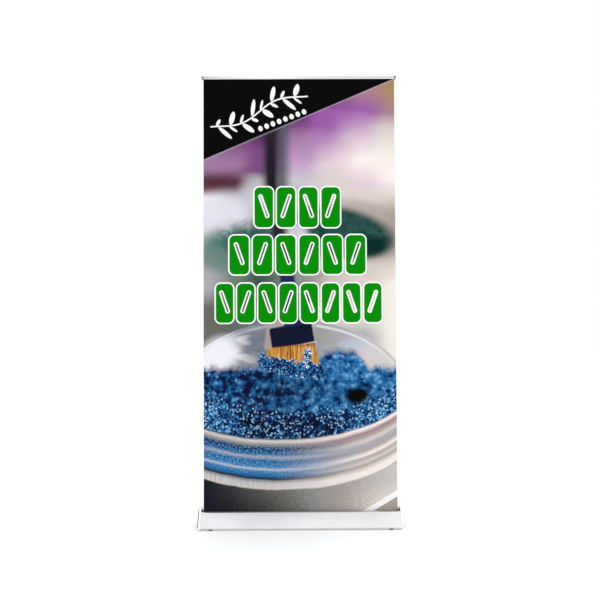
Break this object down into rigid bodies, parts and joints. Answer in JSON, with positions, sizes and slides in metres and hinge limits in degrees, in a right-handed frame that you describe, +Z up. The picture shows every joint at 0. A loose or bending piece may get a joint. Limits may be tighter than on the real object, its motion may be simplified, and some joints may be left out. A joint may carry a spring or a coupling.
{
  "type": "roll-up banner stand",
  "caption": "Free-standing roll-up banner: a spring roller in a low aluminium base, a telescopic pole behind, and a hinged rail that holds a tall printed film.",
  "frame": {"origin": "middle of the base's footprint, on the surface that it stands on", "axes": "+X to the right along the banner seen from the front, -Y to the front, +Z up"},
  "size_m": [0.962, 0.216, 2.1483],
  "materials": {
    "casing_aluminium": "satin silver anodised extrusion",
    "cap_chrome": "polished plating",
    "rail_aluminium": "satin silver anodised extrusion",
    "pole_aluminium": "drawn tube, lightly brushed",
    "steel": "zinc plated",
    "brass_insert": "turned",
    "black_plastic": "moulded, fine texture",
    "grey_plastic": "moulded",
    "foot_rubber": "matte",
    "grip_rubber": "matte",
    "wiper_pile": "dense pile strip",
    "film_back": "grey-backed film, matte",
    "printed_film": "printed film, satin laminate"
  },
  "bodies": {
    "base": {"base_shell": "casing_aluminium", "front_cover": "casing_aluminium", "end_cap_left": "cap_chrome", "end_cap_right": "cap_chrome", "end_cap_screws": "steel", "slot_wiper_front": "wiper_pile", "slot_wiper_rear": "wiper_pile", "roller_cradle_left": "grey_plastic", "roller_cradle_right": "grey_plastic", "cradle_screws": "steel", "spring_shaft": "steel", "spring_anchor": "grey_plastic", "torsion_spring": "steel", "foot_inserts": "brass_insert", "pole_socket": "black_plastic", "socket_screw": "steel", "pole_foot_plug": "black_plastic", "pole_lower_tube": "pole_aluminium", "lower_clamp_collar": "black_plastic", "lower_clamp_pin": "steel"},
    "roller": {"roller_tube": "pole_aluminium", "roller_plug_left": "grey_plastic", "roller_bush": "brass_insert", "roller_plug_right": "grey_plastic", "roller_pin": "steel", "film_roll": "film_back"},
    "middle_tube": {"pole_middle_tube": "pole_aluminium", "middle_guide_bush": "black_plastic", "upper_clamp_collar": "black_plastic", "upper_clamp_pin": "steel"},
    "banner_top": {"pole_upper_tube": "pole_aluminium", "upper_guide_bush": "black_plastic", "pole_head": "black_plastic", "rail_body": "rail_aluminium", "rail_end_cap_left": "grey_plastic", "rail_end_cap_right": "grey_plastic", "graphic_film": "printed_film"},
    "rail_jaw": {"rail_jaw": "rail_aluminium", "rail_grip_strip": "grip_rubber"},
    "lower_lever": {"lower_clamp_lever": "black_plastic"},
    "upper_lever": {"upper_clamp_lever": "black_plastic"},
    "foot_front_left": {"foot_pad_front_left": "foot_rubber", "foot_stud_front_left": "steel"},
    "foot_front_right": {"foot_pad_front_right": "foot_rubber", "foot_stud_front_right": "steel"},
    "foot_rear_left": {"foot_pad_rear_left": "foot_rubber", "foot_stud_rear_left": "steel"},
    "foot_rear_right": {"foot_pad_rear_right": "foot_rubber", "foot_stud_rear_right": "steel"}
  },
  "joints": [
    {"name": "banner_height", "type": "slide", "parent": "base", "child": "banner_top", "axis": [0, 0, 1], "range_m": [-1.22, 0], "deforming": ["graphic_film"]},
    {"name": "middle_tube_slide", "type": "slide", "parent": "base", "child": "middle_tube", "axis": [0, 0, 1], "range_m": [-0.6, 0]},
    {"name": "roller_spin", "type": "hinge", "parent": "base", "child": "roller", "pos_m": [0, -0.0305, 0.046], "axis": [1, 0, 0], "range_deg": [-3650, 0], "stiffness_Nm_per_rad": 0.0012, "springref_deg": -7161.97},
    {"name": "lower_lever_flip", "type": "hinge", "parent": "base", "child": "lower_lever", "pos_m": [0, 0.0375, 0.75807], "axis": [1, 0, 0], "range_deg": [0, 115]},
    {"name": "upper_lever_flip", "type": "hinge", "parent": "middle_tube", "child": "upper_lever", "pos_m": [0, 0.0358, 1.40353], "axis": [1, 0, 0], "range_deg": [0, 115]},
    {"name": "rail_jaw_swing", "type": "hinge", "parent": "banner_top", "child": "rail_jaw", "pos_m": [0, -0.013, 2.14435], "axis": [-1, 0, 0], "range_deg": [0, 35]},
    {"name": "level_front_left", "type": "slide", "parent": "base", "child": "foot_front_left", "axis": [0, 0, 1], "range_m": [-0.006, 0]},
    {"name": "level_front_right", "type": "slide", "parent": "base", "child": "foot_front_right", "axis": [0, 0, 1], "range_m": [-0.006, 0]},
    {"name": "level_rear_left", "type": "slide", "parent": "base", "child": "foot_rear_left", "axis": [0, 0, 1], "range_m": [-0.006, 0]},
    {"name": "level_rear_right", "type": "slide", "parent": "base", "child": "foot_rear_right", "axis": [0, 0, 1], "range_m": [-0.006, 0]}
  ],
  "couplings": [
    {"joint": "middle_tube_slide", "follows": "banner_height", "ratio": 0.4918},
    {"joint": "roller_spin", "follows": "banner_height", "rad_per_m": 52}
  ]
}
